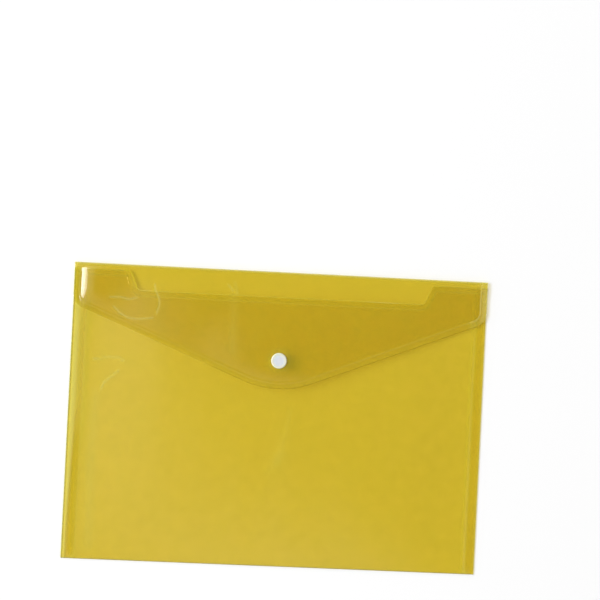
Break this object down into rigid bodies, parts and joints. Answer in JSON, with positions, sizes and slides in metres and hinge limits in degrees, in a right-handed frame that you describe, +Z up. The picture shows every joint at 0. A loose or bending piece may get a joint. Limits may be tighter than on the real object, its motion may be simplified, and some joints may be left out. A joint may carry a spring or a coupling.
{
  "type": "document wallet",
  "caption": "Flat translucent document wallet for A4 paper: a bowed pocket with a notched mouth, and a pointed flap on a living crease, closed by a press snap.",
  "frame": {"origin": "centre of the wallet's outline, on the plane that the back panel rests on", "axes": "+X across the width, +Y from the bottom fold to the top crease, +Z up out of the front"},
  "size_m": [0.33, 0.235, 0.0115],
  "materials": {
    "film": "smooth translucent yellow film",
    "snap_plastic": "fine stippled white moulding"
  },
  "bodies": {
    "pocket": {"back_panel": "film", "bottom_fold": "film", "left_side_tuck": "film", "right_side_tuck": "film", "front_panel": "film", "flap_crease": "film", "snap_stud": "snap_plastic", "snap_back_cap": "snap_plastic"},
    "flap": {"flap": "film", "snap_cap": "snap_plastic", "snap_socket": "snap_plastic"}
  },
  "joints": [
    {"name": "flap_hinge", "type": "hinge", "parent": "pocket", "child": "flap", "pos_m": [0, 0.116, 0.0015], "axis": [-1, 0, 0], "range_deg": [0, 165], "deforming": ["flap_crease"]}
  ]
}
